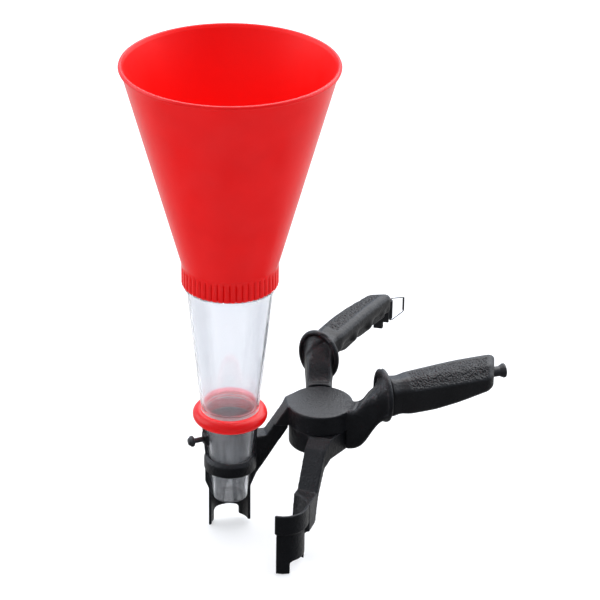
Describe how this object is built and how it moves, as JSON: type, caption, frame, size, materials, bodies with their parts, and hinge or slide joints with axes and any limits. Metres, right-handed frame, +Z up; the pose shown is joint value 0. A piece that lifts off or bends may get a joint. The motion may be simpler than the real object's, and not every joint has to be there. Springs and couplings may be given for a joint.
{
  "type": "clamp-on fluid filling funnel",
  "caption": "Conical filling funnel with a clear sight cup, held in spring-opened plier levers whose pronged jaws spread inside a filler neck; a wire bail latches the grips.",
  "frame": {"origin": "centre of the spout outlet, on the funnel axis", "axes": "+Z up along the funnel axis, +X from the funnel axis to the lever pivot, clamp lever open on the -Y side"},
  "size_m": [0.2934, 0.207, 0.3844],
  "materials": {
    "hopper_red": "translucent glossy injection-moulded plastic, lit from inside",
    "clear_plastic": "clear polished plastic",
    "ring_red": "glossy solid plastic",
    "seal_black": "soft matt rubber",
    "lever_black": "satin glass-filled nylon with a fine mould texture",
    "grip_black": "pebbled soft overmould",
    "steel": "turned, lightly brushed",
    "spring_steel": "bright drawn wire",
    "bronze": "sintered bearing bronze",
    "brass": "turned brass",
    "post_black": "smooth satin plastic",
    "nylon_white": "natural nylon"
  },
  "bodies": {
    "funnel_lever_body": {"funnel_lever": "lever_black", "funnel_lever_grip": "grip_black", "pivot_insert": "brass", "pivot_thrust_washer": "nylon_white", "lever_spring": "spring_steel", "latch_post": "post_black", "latch_post_screw": "steel", "thumb_screw_insert": "brass"},
    "clamp_lever_body": {"clamp_lever": "lever_black", "clamp_lever_grip": "grip_black", "pivot_bolt": "steel", "pivot_bush": "bronze", "pivot_head_washer": "steel", "latch_bracket": "post_black", "latch_bracket_screws": "steel"},
    "cup_body": {"sight_cup": "clear_plastic", "cup_seat_ring": "ring_red"},
    "hopper_body": {"hopper": "hopper_red", "hopper_seal": "seal_black"},
    "bail_body": {"latch_bail": "spring_steel"},
    "thumb_screw_body": {"thumb_screw": "post_black"}
  },
  "joints": [
    {"name": "lever_pivot", "type": "hinge", "parent": "funnel_lever_body", "child": "clamp_lever_body", "pos_m": [0.0693, 0, 0.06], "axis": [0, 0, -1], "range_deg": [0, 53], "stiffness_Nm_per_rad": 1.2, "springref_deg": -34.38, "deforming": ["lever_spring"]},
    {"name": "cup_lift", "type": "slide", "parent": "funnel_lever_body", "child": "cup_body", "axis": [0, 0, 1], "range_m": [0, 0.08]},
    {"name": "hopper_unscrew", "type": "slide", "parent": "cup_body", "child": "hopper_body", "axis": [0, 0, 1], "range_m": [0, 0.02]},
    {"name": "bail_swing", "type": "hinge", "parent": "clamp_lever_body", "child": "bail_body", "pos_m": [0.14426, 0.11778, 0.09], "axis": [0, 0, -1], "range_deg": [0, 85]},
    {"name": "thumb_screw_turn", "type": "hinge", "parent": "funnel_lever_body", "child": "thumb_screw_body", "pos_m": [-0.02849, -0.00764, 0.0535], "axis": [-0.9659, -0.2588, 0], "continuous": true}
  ]
}
